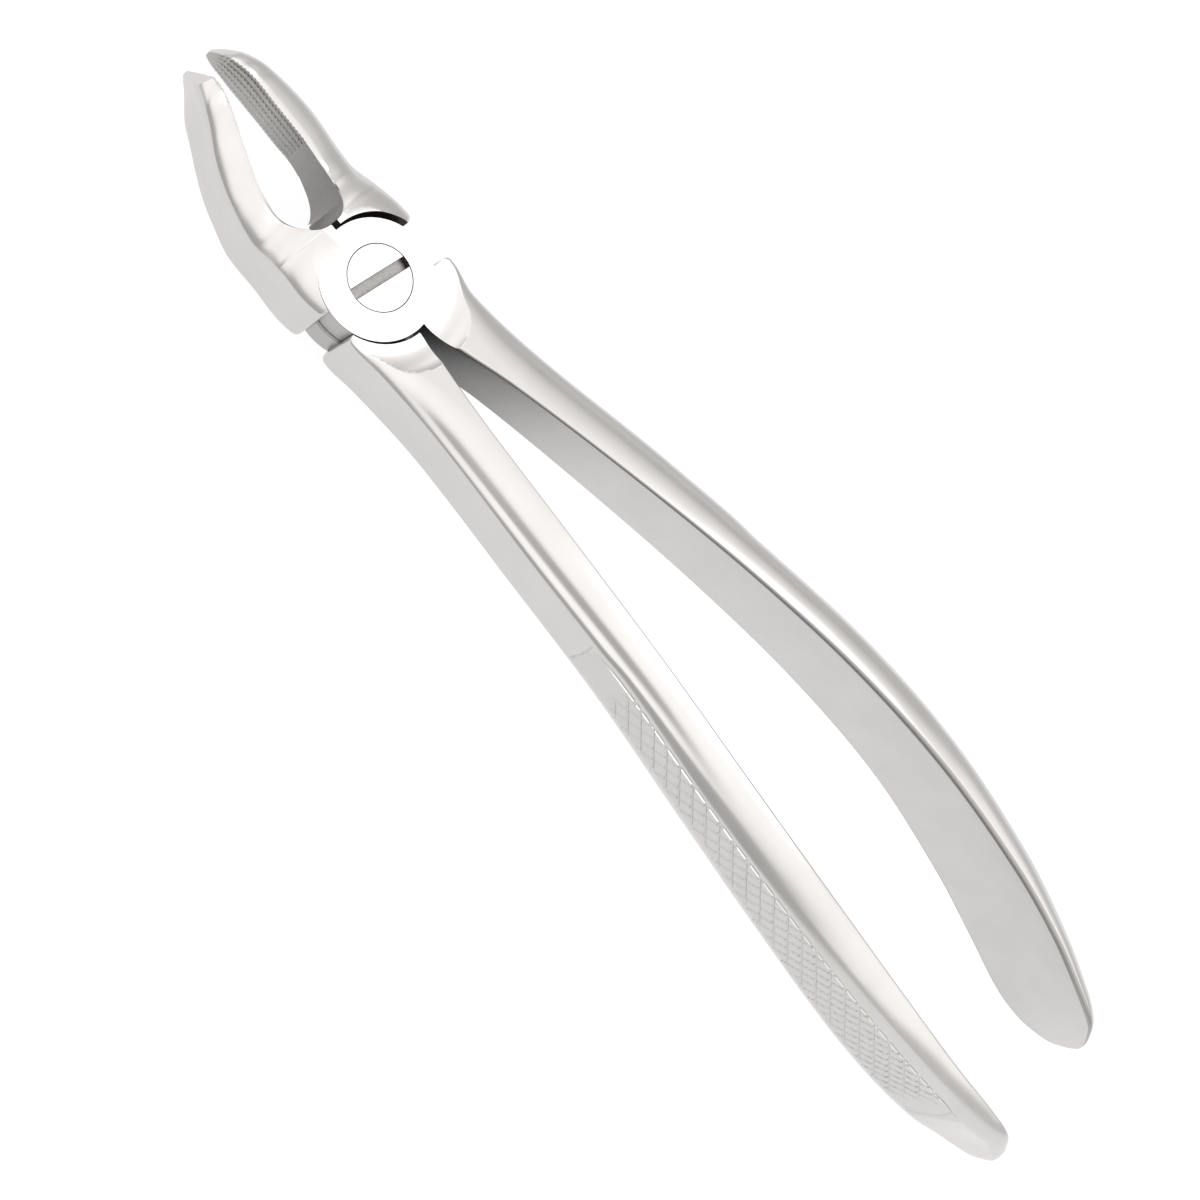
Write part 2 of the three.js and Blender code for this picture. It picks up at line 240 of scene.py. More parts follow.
# --- The two halves ---
UPPER_HALF = {"jaw_shoulder": 0.8, "handle_shoulder": -3.2, "jaw_side": -1, "root_lean": 0.3,
              "flute_depth": 0.1, "inner_edge": (0.35, 0.7), "end_fullness": ELLIPSE}
LOWER_HALF = {"jaw_shoulder": 2.75, "handle_shoulder": -2.95, "jaw_side": 1, "root_lean": 0.9,
              "flute_depth": 0.36, "inner_edge": (0.18, 0.3), "end_fullness": 1.55}
SHOULDER_RADIUS = 0.8
SHOULDER_RINGS = 8
SHOULDER_GAP = 0.3  # from the shoulder's rounding to the next ring

# Order of the materials on every piece.
# The near-black recess steel is painted shade: it darkens the pockets, bores and the hollow behind the
# crotch.
SATIN, GROUND, EDGE_DARK_REFLECTION, SERRATED_SHADED, MILLED, KNURLED, SIDE, RECESS_SHADE, SLOT = range(9)
SHARP_ANGLE = math.radians(32)


# --- Curves and small helpers ---

def read_sections(rows, column, y):
    """Smooth curve through the rows of a table, read at y."""
    ys = rows[:, 0]
    values = rows[:, column]
    y = np.clip(y, ys[0], ys[-1])
    i = np.clip(np.searchsorted(ys, y, side="right") - 1, 0, len(ys) - 2)
    before = np.maximum(np.arange(len(ys)) - 1, 0)
    after = np.minimum(np.arange(len(ys)) + 1, len(ys) - 1)
    slopes = (values[after] - values[before]) / (ys[after] - ys[before])
    span = ys[i + 1] - ys[i]
    t = (y - ys[i]) / span
    rise = (values[i + 1] - values[i]) / span
    bend = (slopes[i] - rise) * (1 - t) - (slopes[i + 1] - rise) * t
    return values[i] + rise * span * t + bend * span * t * (1 - t)


def smooth_step(x, start, end):
    """0 up to the start, 1 from the end on, and an even S between them."""
    t = np.clip((x - start) / (end - start), 0.0, 1.0)
    return t * t * (3 - 2 * t)


def fade_in_and_out(x, start, end, fade):
    """1 between the start and the end, fading to 0 at both."""
    return smooth_step(x, start, start + fade) * (1 - smooth_step(x, end - fade, end))


def rounded_corner(angle, fullness):
    """Shares of the way across and up a quarter of a corner, at an angle from its top."""
    across = np.sin(angle) ** (2 / fullness)
    up = np.clip(np.cos(angle), 0, 1) ** (2 / fullness)
    return across, up


def shoulder_inset(distance):
    """How far a shoulder's outer edge draws in, at a distance from the shoulder's face."""
    left = max(SHOULDER_RADIUS - distance, 0.0)
    return SHOULDER_RADIUS - math.sqrt(SHOULDER_RADIUS ** 2 - left ** 2)


def shoulder_stations(shoulder, direction):
    """Distances of the rings that follow a shoulder's rounded edge."""
    share = 1 - np.cos(np.linspace(0, math.pi / 2, SHOULDER_RINGS))
    return shoulder + direction * SHOULDER_RADIUS * share


def inside_cad_box(rings):
    """Rings held a hair inside the CAD's box."""
    margin = 0.01
    low = np.array(CAD_BOX[0]) / MM + margin
    high = np.array(CAD_BOX[1]) / MM - margin
    return [np.clip(ring, low, high) for ring in rings]


def mesh_object(name, points, faces, face_materials=None, materials=()):
    """New object from points in millimetres."""
    mesh = bpy.data.meshes.new(name)
    mesh.from_pydata((np.asarray(points) * MM).tolist(), [], faces)
    for material in materials:
        mesh.materials.append(material)
    if face_materials is not None:
        mesh.polygons.foreach_set("material_index", np.asarray(face_materials, dtype=np.int32))
    mesh.update()
    obj = bpy.data.objects.new(name, mesh)
    bpy.context.scene.collection.objects.link(obj)
    return obj


def loft(name, rings, materials_round, cap_material=MILLED):
    """Closed surface through rings of points; each face between two rings has its own material."""
    rings = np.asarray(rings)
    ring_count, count = rings.shape[:2]
    faces = []
    face_materials = []
    for ring in range(ring_count - 1):
        low = ring * count
        for i in range(count):
            j = (i + 1) % count
            faces.append((low + i, low + j, low + count + j, low + count + i))
        face_materials.extend(materials_round(ring))
    faces.append(tuple(range(count))[::-1])
    faces.append(tuple(range((ring_count - 1) * count, ring_count * count)))
    face_materials.extend([cap_material, cap_material])
    return mesh_object(name, rings.reshape(-1, 3), faces, face_materials, MATERIALS)


def lathe(name, profile, x=0.0, y=0.0, material=MILLED, rim_material=None, segments=180):
    """Solid turned round an upright axis, with its own material round its rim where one is given.

    The profile runs from the axis, out and back to the axis."""
    rim_material = material if rim_material is None else rim_material
    angles = np.linspace(0, 2 * math.pi, segments, endpoint=False)
    rim = [p for p in profile if p[0] > 1e-9]
    points = [(x, y, profile[0][1])]
    for radius, z in rim:
        points.extend(zip(x + radius * np.cos(angles), y + radius * np.sin(angles), [z] * segments))
    points.append((x, y, profile[-1][1]))
    faces = []
    face_materials = []
    last = len(points) - 1
    top_ring = 1 + (len(rim) - 1) * segments
    for i in range(segments):
        j = (i + 1) % segments
        faces.append((0, 1 + j, 1 + i))
        for ring in range(len(rim) - 1):
            low = 1 + ring * segments
            faces.append((low + i, low + j, low + segments + j, low + segments + i))
        faces.append((top_ring + i, top_ring + j, last))
        face_materials.append(material)
        face_materials.extend([rim_material] * (len(rim) - 1))
        face_materials.append(material)
    return mesh_object(name, points, faces, face_materials, MATERIALS)


def combine(base, tool, operation):
    """Boolean of two closed meshes; the tool is used up."""
    modifier = base.modifiers.new("cut", "BOOLEAN")
    modifier.operation = operation
    modifier.solver = "MANIFOLD"
    modifier.object = tool
    graph = bpy.context.evaluated_depsgraph_get()
    result = bpy.data.meshes.new_from_object(base.evaluated_get(graph))
    base.modifiers.clear()
    base.data = result
    bpy.data.objects.remove(tool)
    return base


# --- Handles ---

def handle_stations(shoulder):
    """Distances along a handle where it has a ring: close together where it is knurled."""
    end = HANDLE_SECTIONS[0, 0]
    panel_first = PANEL_START + PANEL_RINGS_MARGIN[0]
    panel_last = PANEL_END - PANEL_RINGS_MARGIN[1]
    root = np.arange(shoulder - SHOULDER_RADIUS - SHOULDER_GAP, HANDLE_ROOT_END, -HANDLE_ROOT_STEP)
    plain = np.arange(HANDLE_ROOT_END, panel_first, -HANDLE_STEP)
    panel = np.arange(panel_first, panel_last, -PANEL_STEP)
    tip_share = np.sin(np.linspace(0, math.pi / 2, HANDLE_TIP_RINGS))
    tip = panel_last + (end - panel_last) * tip_share
    return np.concatenate([shoulder_stations(shoulder, -1), root, plain, panel, tip])


def groove_profile(distance, width):
    """1 in the middle of a groove, 0 outside it."""
    return np.clip(1 - (2 * distance / width) ** 2, 0, 1)


def knurl_depth(y, z):
    """Depth of the diamond grooves on the outer panel at y, z."""
    depth = np.zeros_like(z)
    for sense, full_depth in zip((-1, 1), KNURL_DEPTHS):
        across = (y + sense * z / math.tan(KNURL_ANGLE)) / KNURL_PITCH
        distance = np.abs(across - np.round(across)) * KNURL_PITCH * math.sin(KNURL_ANGLE)
        depth = np.maximum(depth, full_depth * groove_profile(distance, KNURL_WIDTH))
    return depth * fade_in_and_out(y, KNURL_END, KNURL_START, KNURL_FADE)


def arc_depth(y, z):
    """Depth of the fine arcs scribed at the ends of the panel."""
    depth = np.zeros_like(z)
    for middle_y, middle_z, sweep, height in PANEL_ARCS:
        line = middle_y + sweep * ((z - middle_z) / height) ** 2
        depth = np.maximum(depth, groove_profile(np.abs(y - line), ARC_WIDTH))
    return ARC_DEPTH * depth


def handle_ring(y, half):
    """One section of a handle: inner face up, over the fluted top, down the panel and back."""
    inner, thickness, top, bottom, flat, top_share, bottom_share = (
        float(read_sections(HANDLE_SECTIONS, column, y)) for column in range(1, 8))
    thickness -= shoulder_inset(half["handle_shoulder"] - y)
    lean = half["root_lean"] * float(smooth_step(y, *HANDLE_LEAN_FADE))
    top_edge = (top - bottom) * top_share
    bottom_edge = (top - bottom) * bottom_share
    growth = 1 - float(smooth_step(y, *INNER_EDGE_GROWTH))
    root_edge, end_edge = half["inner_edge"]
    corner = root_edge + (end_edge - root_edge) * growth
    corner = min(corner, thickness / 4, (top - bottom) / 6)
    low_corner = corner / 2

    inner_z = np.linspace(bottom + low_corner, top - corner, INNER_FACE_POINTS)
    pieces = [(np.full_like(inner_z, inner), inner_z)]
    bend = np.linspace(0, math.pi / 2, EDGE_POINTS)
    pieces.append((inner + corner * (1 - np.cos(bend)), top - corner * (1 - np.sin(bend))))

    start = inner + max((thickness - lean) * flat, corner)
    width = inner + thickness - lean - start
    flat_x = np.linspace(inner + corner, start, FLAT_POINTS + 2)[1:-1]
    root_share = float(smooth_step(y, *EDGE_FULLNESS_SPAN))
    fullness = half["end_fullness"] + (EDGE_FULLNESS - half["end_fullness"]) * root_share
    across, up = rounded_corner(np.linspace(0, math.pi / 2, ROUND_POINTS), fullness)
    top_x = np.concatenate([flat_x, start + width * across])
    top_z = np.concatenate([np.full_like(flat_x, top), top - top_edge * (1 - up)])
    place = (top_x - inner) / thickness
    flute_place = np.interp(y, FLUTE_LINE[:, 0], FLUTE_LINE[:, 1])
    flute = half["flute_depth"] * np.exp(-((place - flute_place) / FLUTE_WIDTH) ** 2)
    flute = flute * smooth_step(y, *FLUTE_RISE) * (1 - smooth_step(y, *FLUTE_RUN_OUT))
    on_panel = fade_in_and_out(y, PANEL_END, PANEL_START, PANEL_FADE)
    ledge = PANEL_LEDGE * on_panel * smooth_step(place, *PANEL_LEDGE_SPAN)
    height_share = np.concatenate([np.ones_like(flat_x), up])
    pieces.append((top_x - ledge, top_z - flute * np.clip(FLUTE_HOLD * height_share, 0, 1)))

    panel_top = top - top_edge
    panel_bottom = bottom + bottom_edge
    down = np.linspace(0, 1, PANEL_POINTS)
    panel_z = panel_top + (panel_bottom - panel_top) * down
    cut = np.maximum(knurl_depth(y, panel_z), arc_depth(y, panel_z))
    pieces.append((inner + thickness - lean * (1 - down) - cut, panel_z))

    low_start = inner + thickness * max(flat, LOW_FLAT_SHARE)
    across, up = rounded_corner(np.linspace(math.pi / 2, 0, LOW_POINTS)[1:], ELLIPSE)
    low_z = bottom + bottom_edge * (1 - up)
    pieces.append((low_start + (inner + thickness - low_start) * across, low_z))
    flat_x = np.linspace(low_start, inner + low_corner, FLAT_POINTS)[1:]
    pieces.append((flat_x, np.full_like(flat_x, bottom)))
    bend = np.linspace(math.pi / 2, 0, EDGE_POINTS)[1:-1]
    pieces.append((inner + low_corner * (1 - np.sin(bend)), bottom + low_corner * (1 - np.cos(bend))))

    x = np.concatenate([piece[0] for piece in pieces])
    z = np.concatenate([piece[1] for piece in pieces])
    return np.stack([-half["jaw_side"] * x, np.full_like(x, y), z], axis=1)


def break_shoulder_edge(rings):
    """The first ring drawn in a little, so that the shoulder's edge is broken."""
    middle = rings[0].mean(axis=0)
    offset = rings[0] - middle
    length = np.linalg.norm(offset, axis=1, keepdims=True)
    first = middle + offset * (1 - EDGE_BREAK / length)
    return [first] + rings[1:]


def arm_loft(name, rings, materials_round, flipped, cap_material):
    """Loft of an arm whose rings are turned round where the arm is on the mirrored side."""
    rings = inside_cad_box(break_shoulder_edge(rings))
    if flipped:
        rings = [ring[::-1] for ring in rings]
    rows = [materials_round(ring[0, 1]) for ring in rings]
    if flipped:
        rows = [np.roll(row[::-1], -1) for row in rows]
    return loft(name, rings, lambda ring: rows[ring], cap_material)


def handle_arm(name, half):
    """One handle, with its inner face ground and its outer panel knurled."""
    side = -half["jaw_side"]
    rings = [handle_ring(y, half) for y in handle_stations(half["handle_shoulder"])]
    count = len(rings[0])
    panel_first = INNER_FACE_POINTS + EDGE_POINTS + FLAT_POINTS + ROUND_POINTS

    def materials_round(y):
        row = np.full(count, SATIN)
        row[:INNER_FACE_POINTS - 1] = GROUND
        # The right handle's rounded inner top edge gets a darker steel: a painted dark reflection along
        # that edge.
        if side > 0:
            row[INNER_FACE_POINTS - 1:INNER_FACE_POINTS + EDGE_POINTS - 2] = EDGE_DARK_REFLECTION
        if PANEL_END < y < PANEL_START:
            row[panel_first:panel_first + PANEL_POINTS - 1] = KNURLED
        return row

    return arm_loft(name, rings, materials_round, side > 0, SIDE)


# --- Jaws ---

def jaw_inner(y):
    """Inner face of a jaw: a quarter ellipse opens the tooth space, and the beak closes it again."""
    if y <= CROTCH_Y:
        return CROTCH_GAP
    if y < CROTCH_END_Y:
        share = (CROTCH_END_Y - y) / (CROTCH_END_Y - CROTCH_Y)
        return CROTCH_GAP + (BEAK_INNER[0, 1] - CROTCH_GAP) * math.sqrt(1 - share * share)
    return float(read_sections(BEAK_INNER, 1, y))


def jaw_inner_foot(y):
    """Inner face at its foot, where the crotch's wall stands further forward."""
    return jaw_inner(y - CROTCH_LEAN) if y < CROTCH_END_Y + CROTCH_LEAN else jaw_inner(y)


def teeth_depth(y, share):
    """Depth of the serrations at y, with share running from 0 at the foot of the face to 1 at its top."""
    here = fade_in_and_out(y, *TEETH_SPAN, TEETH_FADE)
    tooth = 2 * abs(y / TEETH_PITCH - round(y / TEETH_PITCH))
    fan = 1 + FAN_SLOPE * max(FAN_Y - y, 0.0)
    row = (share - 0.5) * fan * TEETH_ROWS
    groove = groove_profile(np.abs(row - np.round(row)), ROW_GROOVE_WIDTH)
    in_groove = ROW_GROOVE_DEPTH * groove + TEETH_SHARE_IN_GROOVE * TEETH_DEPTH * tooth
    return here * np.maximum(TEETH_DEPTH * tooth, in_groove)


def jaw_ring(y, side, shoulder):
    """One section of a jaw: serrated face up, over the crowned top, down the outside and back."""
    inner = jaw_inner(y)
    inner_foot = jaw_inner_foot(y)
    flank, foot, top, bottom = (float(read_sections(JAW_SECTIONS, column, y)) for column in range(1, 5))
    inset = shoulder_inset(y - shoulder)
    flank -= inset
    foot -= inset
    crown = min(CROWN_HEIGHT, CROWN_SHARE * (top - bottom))
    foot_bottom = bottom - FOOT_DROP * (1 - float(smooth_step(y, *FOOT_DROP_FADE)))
    corner = min(JAW_CORNER, (top - bottom) / 4, (flank - inner) / 4)
    foot_radius = min(FOOT_RADIUS, (top - bottom) / 4, (flank - inner) / 2)

    share = np.linspace(0, 1, FACE_POINTS)
    face_x = inner_foot + (inner - inner_foot) * share + teeth_depth(y, share)
    face_z = bottom + corner + (top - bottom - (1 + FACE_TOP_SHARE) * corner) * share
    pieces = [(face_x, face_z)]

    crispness = float(smooth_step(y, *CROWN_FULLNESS_SPAN))
    fullness = NECK_FULLNESS + (CROWN_FULLNESS - NECK_FULLNESS) * crispness
    bend = np.linspace(CROWN_START_ANGLE, math.pi / 2, CROWN_POINTS)
    across, up = rounded_corner(bend, fullness)
    slope = CROWN_SLOPE * (flank - inner) * float(smooth_step(y, *CROWN_SLOPE_FADE))
    pieces.append((inner + (flank - inner) * across, top - crown * (1 - up) - slope * across))

    down = np.linspace(0, 1, FLANK_POINTS)[1:]
    flute = NECK_FLUTE_DEPTH * np.exp(-((down - NECK_FLUTE_PLACE) / NECK_FLUTE_WIDTH) ** 2)
    flute = flute * fade_in_and_out(y, *NECK_FLUTE_SPAN, NECK_FLUTE_FADE)
    flank_top = top - crown - slope
    flank_z = flank_top + (foot_bottom + foot_radius - flank_top) * down
    pieces.append((flank + (foot - flank) * down - flute, flank_z))

    bend = np.linspace(0, math.pi / 2, FOOT_POINTS)[1:]
    foot_x = foot - foot_radius * (1 - np.cos(bend))
    pieces.append((foot_x, foot_bottom + foot_radius * (1 - np.sin(bend))))

    back = np.linspace(0, 1, SOLE_POINTS)[1:]
    sole_x = foot_x[-1] + (inner_foot + corner - foot_x[-1]) * back
    pieces.append((sole_x, foot_bottom + (bottom - foot_bottom) * back))
    cut = SOLE_CORNER_SHARE * corner
    pieces.append((np.array([inner_foot + cut]), np.array([bottom + cut])))

    x = np.concatenate([piece[0] for piece in pieces])
    z = np.concatenate([piece[1] for piece in pieces])
    return np.stack([side * x, np.full_like(x, y), z], axis=1)


def jaw_stations(shoulder):
    """Distances along a jaw where it has a ring: close together where it is serrated."""
    end = JAW_SECTIONS[-1, 0]
    root = np.arange(shoulder + SHOULDER_RADIUS + SHOULDER_GAP, CROTCH_Y, JAW_ROOT_STEP)
    crotch_share = np.cos(np.linspace(0, math.pi / 2, CROTCH_RINGS))
    crotch = CROTCH_END_Y - (CROTCH_END_Y - CROTCH_Y) * crotch_share
    plain = np.arange(CROTCH_END_Y + JAW_STEP, TEETH_SPAN[0], JAW_STEP)
    teeth = np.arange(TEETH_SPAN[0], TEETH_SPAN[1], TEETH_PITCH / RINGS_PER_TOOTH)
    tip_share = np.sin(np.linspace(0, math.pi / 2, JAW_TIP_RINGS))
    tip = TEETH_SPAN[1] + (end - TEETH_SPAN[1]) * tip_share
    return np.concatenate([shoulder_stations(shoulder, 1), root, crotch, plain, teeth, tip])


def jaw_arm(name, side, shoulder):
    """One jaw, with its inner face serrated ahead of the crotch."""
    rings = [jaw_ring(y, side, shoulder) for y in jaw_stations(shoulder)]
    count = len(rings[0])

    def materials_round(y):
        row = np.full(count, SATIN)
        # Behind the crotch the inner face is painted near-black, as shade in the hollow between the jaws.
        row[:FACE_POINTS - 1] = SERRATED_SHADED if y > CROTCH_Y else RECESS_SHADE
        return row

    return arm_loft(name, rings, materials_round, side < 0, SIDE)


# --- Joint ---

def plate(name, bottom, top, shape):
    """Lap plate: flat faces milled bright, with a turned side that is rougher and a darker grey."""
    r = shape["radius"]
    profile = [
        (0, bottom), (r - FINE_EDGE, bottom), (r, bottom + FINE_EDGE),
        (r, top - FINE_EDGE), (r - FINE_EDGE, top), (0, top),
    ]
    return lathe(name, profile, shape["x"], shape["y"], rim_material=SIDE)


def round_cut(radius, bottom, top, x=0.0, y=0.0, rim=None):
    """Cylinder for cutting; rim is a height where it opens for a broken edge. The walls it cuts take the
    near-black steel, painted shade.
    """
    profile = [(0, bottom), (radius, bottom)]
    if rim is not None:
        profile += [(radius, rim - FINE_EDGE), (radius + 2 * FINE_EDGE, rim + FINE_EDGE)]
        profile += [(radius + 2 * FINE_EDGE, top)]
    else:
        profile += [(radius, top)]
    profile += [(0, top)]
    return lathe("cutter", profile, x, y, material=RECESS_SHADE)


def milling_cut(level, upward, shape):
    """Cutter for the flat face round the pivot, with a fillet where it runs out into the arms."""
    fillet = shape["fillet"]
    bend = np.linspace(0, math.pi / 2, FILLET_POINTS)
    rim = [(shape["radius"] + fillet * math.sin(a), fillet * (1 - math.cos(a))) for a in bend]
    profile = [(0, 0)] + rim + [(shape["radius"] + fillet, MILLING_REACH), (0, MILLING_REACH)]
    profile = [(r, level + z if upward else level - z) for r, z in profile]
    if not upward:
        profile = profile[::-1]
    return lathe("cutter", profile, rim_material=SATIN, segments=MILLING_SEGMENTS)


def tip_grind():
    """Block that grinds the upper half's beak off at a slant."""
    size = 20.0
    (y0, z0), (y1, z1) = TIP_GRIND
    angle = math.atan2(y1 - y0, z0 - z1)
    half = size / 2
    corners = [(x, y, z) for x in (-half, half) for y in (0, size) for z in (-half, half)]
    turn = Matrix.Rotation(angle, 3, "X")
    middle = Vector((0, (y0 + y1) / 2, (z0 + z1) / 2))
    points = [tuple(turn @ Vector(c) + middle) for c in corners]
    faces = [(0, 1, 3, 2), (4, 6, 7, 5), (0, 4, 5, 1), (2, 3, 7, 6), (0, 2, 6, 4), (1, 5, 7, 3)]
    return mesh_object("cutter", points, faces, [SATIN] * 6, MATERIALS)


def arms(name, half):
    """The jaw and the handle of a half, milled flat round the pivot."""
    body = jaw_arm(name, half["jaw_side"], half["jaw_shoulder"])
    combine(body, handle_arm("handle", half), "UNION")
    combine(body, milling_cut(JOINT_THICKNESS, True, UPPER_MILLING), "DIFFERENCE")
    combine(body, milling_cut(0.0, False, LOWER_MILLING), "DIFFERENCE")
    return body


def upper_half():
    """Left jaw, upper plate and right handle, with the counterbore for the screw's head."""
    plate_bottom = SPLIT_HEIGHT + PLATE_CLEARANCE / 2
    above = JOINT_THICKNESS + 1
    seat = JOINT_THICKNESS - HEAD_HEIGHT - RUNNING_CLEARANCE
    counterbore = round_cut(HEAD_RADIUS + HEAD_CLEARANCE, seat, above, rim=JOINT_THICKNESS)
    body = arms("upper_half_forged", UPPER_HALF)
    combine(body, tip_grind(), "DIFFERENCE")
    combine(body, plate("plate", plate_bottom, JOINT_THICKNESS, UPPER_PLATE), "UNION")
    combine(body, round_cut(UPPER_POCKET_RADIUS, -1, plate_bottom), "DIFFERENCE")
    combine(body, counterbore, "DIFFERENCE")
    combine(body, round_cut(SHANK_RADIUS + RUNNING_CLEARANCE, -1, above), "DIFFERENCE")
    return body


def lower_half():
    """Right jaw, lower plate and left handle, with the hole that holds the screw."""
    plate_top = SPLIT_HEIGHT - PLATE_CLEARANCE / 2
    above = JOINT_THICKNESS + 1
    body = arms("lower_half_forged", LOWER_HALF)
    combine(body, plate("plate", 0.0, plate_top, LOWER_PLATE), "UNION")
    for shape in (LOWER_POCKET, LOWER_POCKET_RELIEF):
        pocket = round_cut(shape["radius"], plate_top, above, shape["x"], shape["y"], JOINT_THICKNESS)
        combine(body, pocket, "DIFFERENCE")
    combine(body, round_cut(THREAD_RADIUS + THREAD_CLEARANCE, -1, plate_top + 1), "DIFFERENCE")
    return body


def pivot_screw():
    """Slotted screw, turned in steps from its ground end up to its head."""
    top = JOINT_THICKNESS
    profile = [
        (0, 0), (THREAD_RADIUS - THREAD_CHAMFER, 0),
        (THREAD_RADIUS, THREAD_CHAMFER), (THREAD_RADIUS, SPLIT_HEIGHT),
        (SHANK_RADIUS, SPLIT_HEIGHT), (SHANK_RADIUS, top - HEAD_HEIGHT),
        (HEAD_RADIUS, top - HEAD_HEIGHT), (HEAD_RADIUS, top - FINE_EDGE),
        (HEAD_RADIUS - FINE_EDGE, top), (0, top),
    ]
    screw = lathe("pivot_screw_turned", profile)
    half_length = 2 * HEAD_RADIUS
    half_width = SLOT_WIDTH / 2
    flare = half_width + FINE_EDGE
    section = [
        (-half_width, top - SLOT_DEPTH), (half_width, top - SLOT_DEPTH), (half_width, top - FINE_EDGE),
        (flare, top), (flare, top + 1), (-flare, top + 1),
        (-flare, top), (-half_width, top - FINE_EDGE),
    ]
    turn = Matrix.Rotation(SLOT_ANGLE, 3, "Z")
    rings = [[tuple(turn @ Vector((x, y, z))) for y, z in section] for x in (-half_length, half_length)]
    cutter = loft("cutter", rings, lambda ring: [SLOT] * len(section))
    combine(screw, cutter, "DIFFERENCE")
    return screw


# --- Materials ---

def shade_along(nodes, links, place, color, fade):
    """Colour dimmed by a ramp along y; fade lists y in millimetres and the brightness there."""
    parts = nodes.new("ShaderNodeSeparateXYZ")
    links.new(place.outputs["Object"], parts.inputs["Vector"])
    reach = nodes.new("ShaderNodeMapRange")
    reach.inputs["From Min"].default_value = fade[0][0] * MM
    reach.inputs["From Max"].default_value = fade[-1][0] * MM
    links.new(parts.outputs["Y"], reach.inputs["Value"])
    start, end = fade[0][0], fade[-1][0]
    ramp = grey_ramp(nodes, [((y - start) / (end - start), value) for y, value in fade])
    links.new(reach.outputs["Result"], ramp.inputs["Fac"])
    mix = nodes.new("ShaderNodeMixRGB")
    mix.blend_type = "MULTIPLY"
    mix.inputs["Fac"].default_value = 1.0
    links.new(color, mix.inputs["Color1"])
    links.new(ramp.outputs["Color"], mix.inputs["Color2"])
    return mix.outputs["Color"]


def grey_ramp(nodes, stops, tint=(1, 1, 1)):
    """Colour ramp from (position, brightness) stops."""
    ramp = nodes.new("ShaderNodeValToRGB")
    elements = ramp.color_ramp.elements
    while len(elements) < len(stops):
        elements.new(0.5)
    for element, (position, value) in zip(elements, stops):
        element.position = position
        element.color = (value * tint[0], value * tint[1], value * tint[2], 1)
    return ramp


def steel(name, color, roughness, bump_scale, bump_strength, stretch=(1, 1, 1), mottling=0.04, fade=None):
    """Stainless steel with fine surface texture and slight changes of tone."""
    material = bpy.data.materials.new(name)
    material.use_nodes = True
    nodes, links = material.node_tree.nodes, material.node_tree.links
    shader = nodes["Principled BSDF"]
    shader.inputs["Metallic"].default_value = 1.0
    place = nodes.new("ShaderNodeTexCoord")
    mapping = nodes.new("ShaderNodeMapping")
    mapping.inputs["Scale"].default_value = stretch
    links.new(place.outputs["Object"], mapping.inputs["Vector"])

    grain = nodes.new("ShaderNodeTexNoise")
    grain.inputs["Scale"].default_value = bump_scale
    grain.inputs["Detail"].default_value = 4
    links.new(mapping.outputs["Vector"], grain.inputs["Vector"])
    bump = nodes.new("ShaderNodeBump")
    bump.inputs["Strength"].default_value = bump_strength
    bump.inputs["Distance"].default_value = 0.00002
    links.new(grain.outputs["Fac"], bump.inputs["Height"])
    links.new(bump.outputs["Normal"], shader.inputs["Normal"])

    cloud = nodes.new("ShaderNodeTexNoise")
    cloud.inputs["Scale"].default_value = 160
    cloud.inputs["Detail"].default_value = 5
    links.new(place.outputs["Object"], cloud.inputs["Vector"])
    tone = nodes.new("ShaderNodeValToRGB")
    tone.color_ramp.elements[0].position = 0.3
    tone.color_ramp.elements[1].position = 0.7
    dim = 1 - mottling
    tone.color_ramp.elements[0].color = (color[0] * dim, color[1] * dim, color[2] * dim, 1)
    tone.color_ramp.elements[1].color = (*color, 1)
    links.new(cloud.outputs["Fac"], tone.inputs["Fac"])
    color_out = tone.outputs["Color"]
    if fade is not None:
        color_out = shade_along(nodes, links, place, color_out, fade)
    links.new(color_out, shader.inputs["Base Color"])

    rough = nodes.new("ShaderNodeMapRange")
    rough.inputs["From Min"].default_value = 0.3
    rough.inputs["From Max"].default_value = 0.7
    rough.inputs["To Min"].default_value = roughness * 0.85
    rough.inputs["To Max"].default_value = roughness * 1.15
    links.new(grain.outputs["Fac"], rough.inputs["Value"])
    links.new(rough.outputs["Result"], shader.inputs["Roughness"])
    return material


# Where the two halves shade each other: the handles' inner faces behind the joint, and the hollow
# behind the serrations.
INNER_FACE_SHADE = ((-38, 1.0), (-28, 0.82), (-20, 0.45), (-13, 0.16), (-7, 0.05))
HOLLOW_SHADE = ((8, 0.5), (14, 0.62), (18, 0.75), (23, 1.0))


